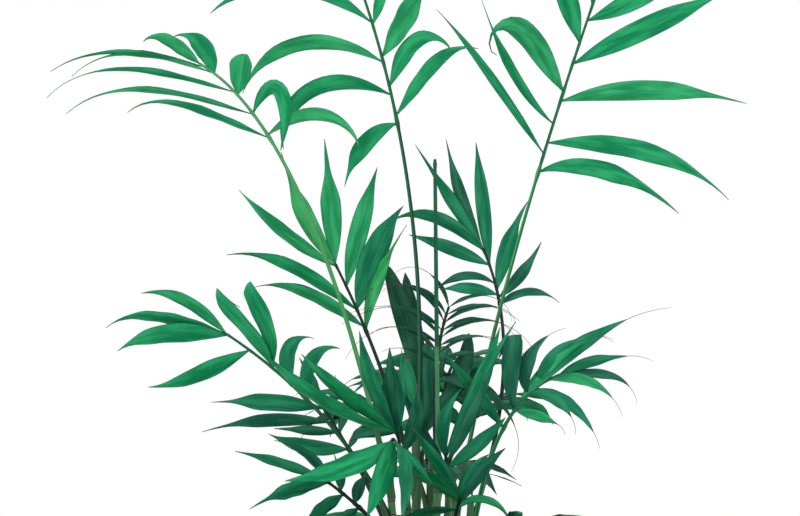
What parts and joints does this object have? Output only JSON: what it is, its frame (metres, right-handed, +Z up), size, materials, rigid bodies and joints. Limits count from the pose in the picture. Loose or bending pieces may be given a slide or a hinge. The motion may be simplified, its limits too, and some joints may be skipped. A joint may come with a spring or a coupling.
{
  "type": "potted parlor palm",
  "caption": "Parlor palm with slender canes and arching pinnate fronds, standing in a plain tapered clay pot.",
  "frame": {"origin": "middle of the pot's flat underside", "axes": "+Z up; the broad view of the crown is seen looking along +Y, with +X to the right"},
  "size_m": [0.7059, 0.5832, 0.8792],
  "materials": {
    "pot": "unglazed fired clay, matte, with a pale bloom",
    "soil": "dark crumbly potting soil, matte",
    "cane": "green ringed cane with brown scars, satin",
    "frond": "green leaf blades with a soft sheen and paler ribs"
  },
  "bodies": {
    "root": {"pot": "pot", "soil": "soil", "cane_left": "cane", "cane_center_left": "cane", "cane_center": "cane", "cane_right": "cane", "cane_center_right": "cane", "cane_front_left": "cane", "cane_front_right": "cane", "cane_back": "cane", "spear_leaf": "frond", "frond_tall_left": "frond", "frond_tall_right": "frond", "frond_arching_left": "frond", "frond_mid_left": "frond", "frond_low_left": "frond", "frond_dark_left": "frond", "frond_lowest_left": "frond", "frond_mid_right": "frond", "frond_feathered": "frond", "frond_low_right": "frond", "frond_broad_center": "frond", "frond_near_left": "frond", "frond_front_drop": "frond", "frond_near_right": "frond", "frond_front_low": "frond", "frond_rising_1": "frond", "frond_rising_2": "frond", "frond_rising_3": "frond", "frond_rising_4": "frond", "frond_rising_5": "frond", "frond_rising_6": "frond", "frond_rising_7": "frond", "frond_rising_8": "frond", "frond_skirt_1": "frond", "frond_skirt_2": "frond", "frond_skirt_3": "frond", "frond_skirt_4": "frond", "frond_skirt_5": "frond", "frond_skirt_6": "frond", "frond_skirt_7": "frond", "frond_skirt_8": "frond", "frond_skirt_9": "frond", "frond_skirt_10": "frond", "frond_skirt_11": "frond", "frond_skirt_12": "frond"}
  },
  "joints": []
}
